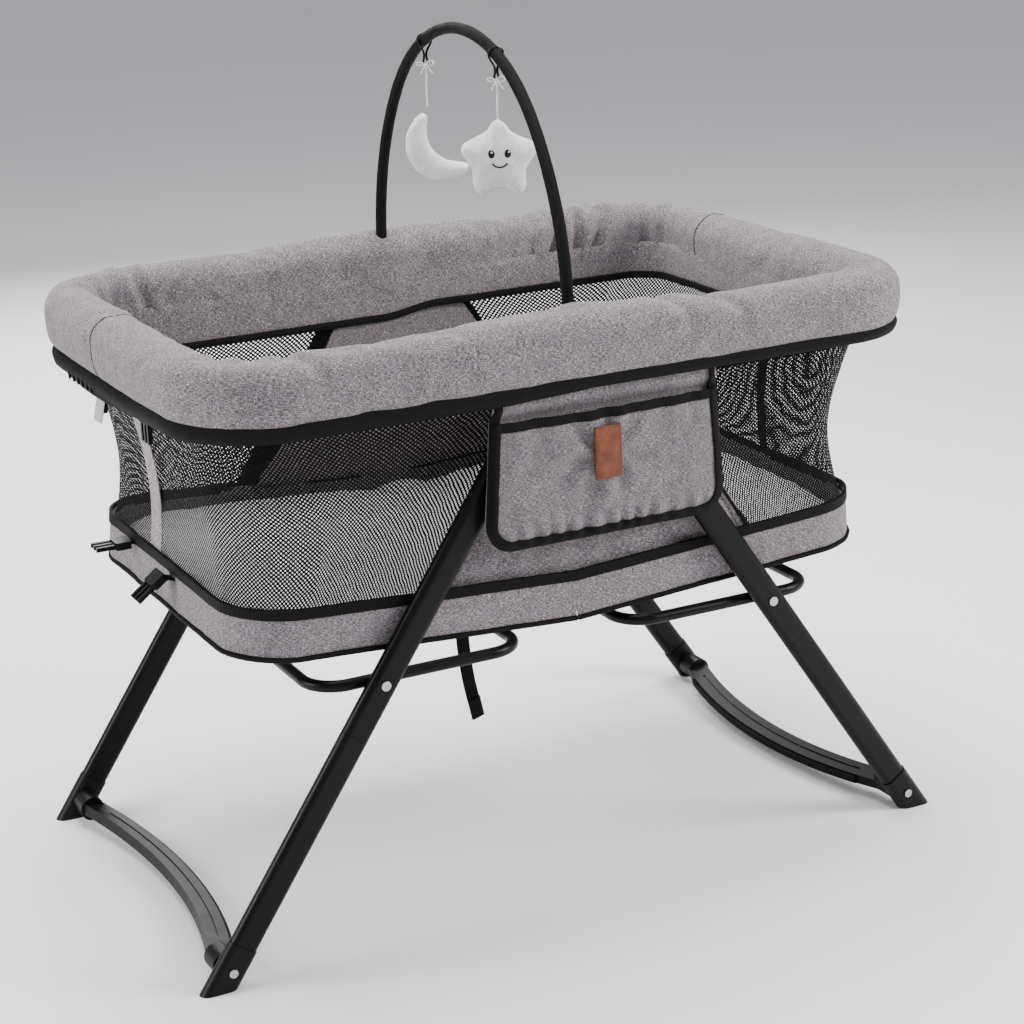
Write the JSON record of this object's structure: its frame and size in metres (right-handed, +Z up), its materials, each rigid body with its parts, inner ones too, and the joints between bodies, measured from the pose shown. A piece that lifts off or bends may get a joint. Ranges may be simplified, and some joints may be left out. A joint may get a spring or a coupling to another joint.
{
  "type": "bassinet",
  "caption": "Folding baby bassinet with padded rim, mesh sides, splayed stand, rocker bars and a removable toy arch.",
  "frame": {"origin": "on the floor under the middle of the cot", "axes": "+X along the cot to the right as seen from the pocket side, +Y away from the pocket side, +Z up"},
  "size_m": [0.957, 0.6, 0.9697],
  "materials": {
    "grey_fabric": "woven melange, matt",
    "mesh": "open black mesh",
    "black_fabric": "woven, matt",
    "webbing": "ribbed webbing",
    "mattress_fabric": "soft white cloth",
    "board": "cloth-covered board",
    "black_metal": "satin powder coat",
    "black_plastic": "moulded, fine grain",
    "rubber": "matt",
    "zinc": "zinc plated",
    "blue_plastic": "moulded",
    "plush_white": "short plush",
    "string_white": "twisted string",
    "leather": "stitched label",
    "thread_black": "embroidery thread",
    "tag_grey": "woven tape"
  },
  "bodies": {
    "hub_frame": {"hub_outer_near": "black_plastic", "hub_outer_far": "black_plastic", "hub_inner_near": "black_plastic", "hub_inner_far": "black_plastic", "pivot_pins": "zinc", "centre_cover_near": "grey_fabric", "centre_cover_far": "grey_fabric", "centre_panel_near": "grey_fabric", "centre_panel_far": "grey_fabric", "wall_left": "mesh", "wall_right": "mesh", "pocket": "grey_fabric"},
    "base_spine": {"centre_slat": "black_plastic", "fold_strap": "webbing"},
    "arch": {"arch_rod": "zinc", "arch_sleeve": "black_fabric"},
    "moon_toy": {"moon_string": "string_white", "moon": "plush_white"},
    "star_toy": {"star_string": "string_white", "star": "plush_white"},
    "button_near_left": {"release_button_near_left": "blue_plastic"},
    "button_near_right": {"release_button_near_right": "blue_plastic"},
    "button_far_left": {"release_button_far_left": "blue_plastic"},
    "button_far_right": {"release_button_far_right": "blue_plastic"},
    "rim_left": {"rim_tube_left": "black_metal", "rim_pad_left": "grey_fabric", "upper_buckles": "black_plastic"},
    "legs_left": {"upper_leg_near_left": "black_metal", "upper_leg_far_left": "black_metal", "leg_spigots_left": "black_plastic", "leg_rivets_left": "zinc"},
    "feet_left": {"lower_leg_near_left": "black_metal", "lower_leg_far_left": "black_metal", "foot_caps_left": "black_plastic", "foot_screws_left": "zinc"},
    "rocker_left": {"rocker_bar_left": "black_plastic", "rocker_pad_left": "rubber"},
    "loop_left": {"support_loop_left": "black_metal"},
    "base_left": {"base_frame_left": "black_metal", "base_board_left": "board", "mattress_left": "mattress_fabric", "base_band_left": "grey_fabric", "lower_buckles": "black_plastic"},
    "rim_right": {"rim_tube_right": "black_metal", "rim_pad_right": "grey_fabric"},
    "legs_right": {"upper_leg_near_right": "black_metal", "upper_leg_far_right": "black_metal", "leg_spigots_right": "black_plastic", "leg_rivets_right": "zinc"},
    "feet_right": {"lower_leg_near_right": "black_metal", "lower_leg_far_right": "black_metal", "foot_caps_right": "black_plastic", "foot_screws_right": "zinc"},
    "rocker_right": {"rocker_bar_right": "black_plastic", "rocker_pad_right": "rubber"},
    "loop_right": {"support_loop_right": "black_metal"},
    "base_right": {"base_frame_right": "black_metal", "base_board_right": "board", "mattress_right": "mattress_fabric", "base_band_right": "grey_fabric"}
  },
  "joints": [
    {"name": "rim_fold_left", "type": "hinge", "parent": "hub_frame", "child": "rim_left", "pos_m": [-0.11, 0, 0.645], "axis": [0, -1, 0], "range_deg": [0, 74], "deforming": ["wall_left", "wall_right", "centre_cover_near", "centre_cover_far", "centre_panel_near", "centre_panel_far", "pocket", "base_band_left", "base_band_right"]},
    {"name": "rim_fold_right", "type": "hinge", "parent": "hub_frame", "child": "rim_right", "pos_m": [0.11, 0, 0.645], "axis": [0, 1, 0], "range_deg": [0, 75]},
    {"name": "legs_fold_left", "type": "hinge", "parent": "hub_frame", "child": "legs_left", "pos_m": [-0.03, 0, 0.63], "axis": [0, -1, 0], "range_deg": [0, 28.5]},
    {"name": "loop_fold_left", "type": "hinge", "parent": "legs_left", "child": "loop_left", "pos_m": [-0.24641, 0, 0.3107], "axis": [0, -1, 0], "range_deg": [0, 48.5]},
    {"name": "legs_fold_right", "type": "hinge", "parent": "hub_frame", "child": "legs_right", "pos_m": [0.03, 0, 0.63], "axis": [0, 1, 0], "range_deg": [0, 28.5]},
    {"name": "loop_fold_right", "type": "hinge", "parent": "legs_right", "child": "loop_right", "pos_m": [0.24641, 0, 0.3107], "axis": [0, 1, 0], "range_deg": [0, 48.5]},
    {"name": "base_lift", "type": "slide", "parent": "hub_frame", "child": "base_spine", "axis": [0, 0, 1], "range_m": [0, 0.273]},
    {"name": "base_fold_left", "type": "hinge", "parent": "base_spine", "child": "base_left", "pos_m": [-0.02, 0, 0.34], "axis": [0, -1, 0], "range_deg": [0, 84.5]},
    {"name": "leg_release_left", "type": "slide", "parent": "legs_left", "child": "feet_left", "axis": [-0.5611, 0, -0.8278], "range_m": [0, 0.07]},
    {"name": "rocker_turn_left", "type": "hinge", "parent": "feet_left", "child": "rocker_left", "pos_m": [-0.44209, 0, 0.022], "axis": [0, 1, 0], "range_deg": [0, 78]},
    {"name": "base_fold_right", "type": "hinge", "parent": "base_spine", "child": "base_right", "pos_m": [0.02, 0, 0.34], "axis": [0, 1, 0], "range_deg": [0, 84.5]},
    {"name": "leg_release_right", "type": "slide", "parent": "legs_right", "child": "feet_right", "axis": [0.5611, 0, -0.8278], "range_m": [0, 0.07]},
    {"name": "rocker_turn_right", "type": "hinge", "parent": "feet_right", "child": "rocker_right", "pos_m": [0.44209, 0, 0.022], "axis": [0, -1, 0], "range_deg": [0, 78]},
    {"name": "arch_lift", "type": "slide", "parent": "hub_frame", "child": "arch", "axis": [0, 0, 1], "range_m": [0, 0.06]},
    {"name": "moon_swing", "type": "hinge", "parent": "arch", "child": "moon_toy", "pos_m": [0, 0.091, 0.916], "axis": [0, 1, 0], "range_deg": [-35, 35]},
    {"name": "star_swing", "type": "hinge", "parent": "arch", "child": "star_toy", "pos_m": [0, -0.091, 0.916], "axis": [0, 1, 0], "range_deg": [-35, 35]},
    {"name": "button_near_left_press", "type": "slide", "parent": "hub_frame", "child": "button_near_left", "axis": [0, 0, 1], "range_m": [0, 0.004], "stiffness_N_per_m": 600},
    {"name": "button_near_right_press", "type": "slide", "parent": "hub_frame", "child": "button_near_right", "axis": [0, 0, 1], "range_m": [0, 0.004], "stiffness_N_per_m": 600},
    {"name": "button_far_left_press", "type": "slide", "parent": "hub_frame", "child": "button_far_left", "axis": [0, 0, 1], "range_m": [0, 0.004], "stiffness_N_per_m": 600},
    {"name": "button_far_right_press", "type": "slide", "parent": "hub_frame", "child": "button_far_right", "axis": [0, 0, 1], "range_m": [0, 0.004], "stiffness_N_per_m": 600}
  ],
  "couplings": [
    {"joint": "rim_fold_right", "follows": "rim_fold_left", "ratio": 1},
    {"joint": "legs_fold_left", "follows": "rim_fold_left", "ratio": 0.37838},
    {"joint": "loop_fold_left", "follows": "rim_fold_left", "ratio": 0.64865},
    {"joint": "legs_fold_right", "follows": "rim_fold_left", "ratio": 0.37838},
    {"joint": "loop_fold_right", "follows": "rim_fold_left", "ratio": 0.64865},
    {"joint": "base_lift", "follows": "rim_fold_left", "m_per_rad": 0.20905},
    {"joint": "base_fold_left", "follows": "rim_fold_left", "ratio": 1.1351},
    {"joint": "base_fold_right", "follows": "rim_fold_left", "ratio": 1.1351}
  ]
}
